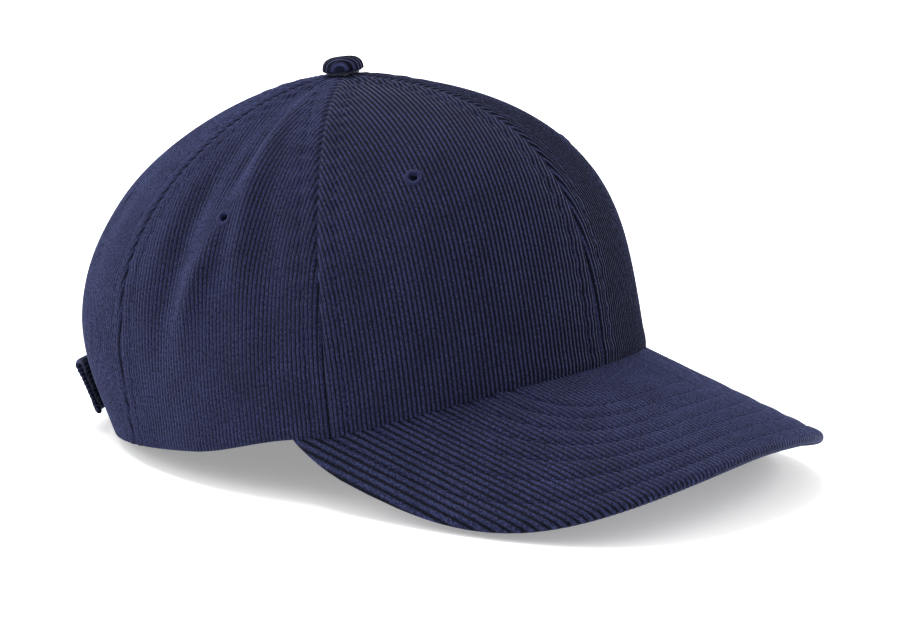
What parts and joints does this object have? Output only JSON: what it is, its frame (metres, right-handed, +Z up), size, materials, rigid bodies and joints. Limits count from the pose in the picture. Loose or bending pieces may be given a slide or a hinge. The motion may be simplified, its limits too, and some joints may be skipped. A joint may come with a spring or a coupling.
{
  "type": "baseball cap",
  "caption": "Soft corduroy cap with a panelled crown, a curved peak and a back strap that adjusts through a clamp buckle.",
  "frame": {"origin": "middle of the underside of the bounding box, on the surface the cap stands on", "axes": "+Z up, -Y the way the peak points, +X the wearer's left; the cap stands tipped back by 8.5 degrees on its rim and the sides of its peak"},
  "size_m": [0.1706, 0.2832, 0.1368],
  "materials": {
    "corduroy": "navy sixteen-wale cotton corduroy, soft nap with a pale sheen at grazing light",
    "thread": "navy embroidery thread, close satin stitch",
    "tape": "navy cotton seam tape, plain weave",
    "twill": "navy cotton twill",
    "padding": "white needled interlining",
    "board": "flexible polyethylene board",
    "steel": "pressed tinplate",
    "brass": "antique brass, dark in its hollows"
  },
  "bodies": {
    "crown": {"crown_panel_front_right": "corduroy", "crown_panel_front_left": "corduroy", "crown_panel_side_right": "corduroy", "crown_panel_side_left": "corduroy", "crown_panel_back_right": "corduroy", "crown_panel_back_left": "corduroy", "eyelet_front_right": "thread", "eyelet_front_left": "thread", "eyelet_side_right": "thread", "eyelet_side_left": "thread", "eyelet_back_right": "thread", "eyelet_back_left": "thread", "seam_tape_centre": "tape", "seam_tape_side_right": "tape", "seam_tape_side_left": "tape", "seam_tape_back_right": "tape", "seam_tape_back_left": "tape", "sweatband": "twill", "sweatband_padding": "padding", "back_opening_facing": "twill", "peak_top_cover": "corduroy", "peak_board": "board", "peak_bottom_cover": "corduroy", "button_cover": "corduroy", "button_shell": "steel", "button_prong": "steel", "buckle_tab": "corduroy", "buckle_frame": "brass", "buckle_pin": "brass"},
    "strap": {"back_strap": "corduroy"},
    "lever": {"buckle_lever": "brass"}
  },
  "joints": [
    {"name": "strap_slide", "type": "hinge", "parent": "crown", "child": "strap", "pos_m": [-0.0069, 0.05167, 0.00984], "axis": [0, 0.1478, 0.989], "range_deg": [-6, 6]},
    {"name": "lever_hinge", "type": "hinge", "parent": "crown", "child": "lever", "pos_m": [-0.01897, 0.1335, 0.01221], "axis": [-0.025, 0.4246, 0.905], "range_deg": [0, 100]}
  ]
}
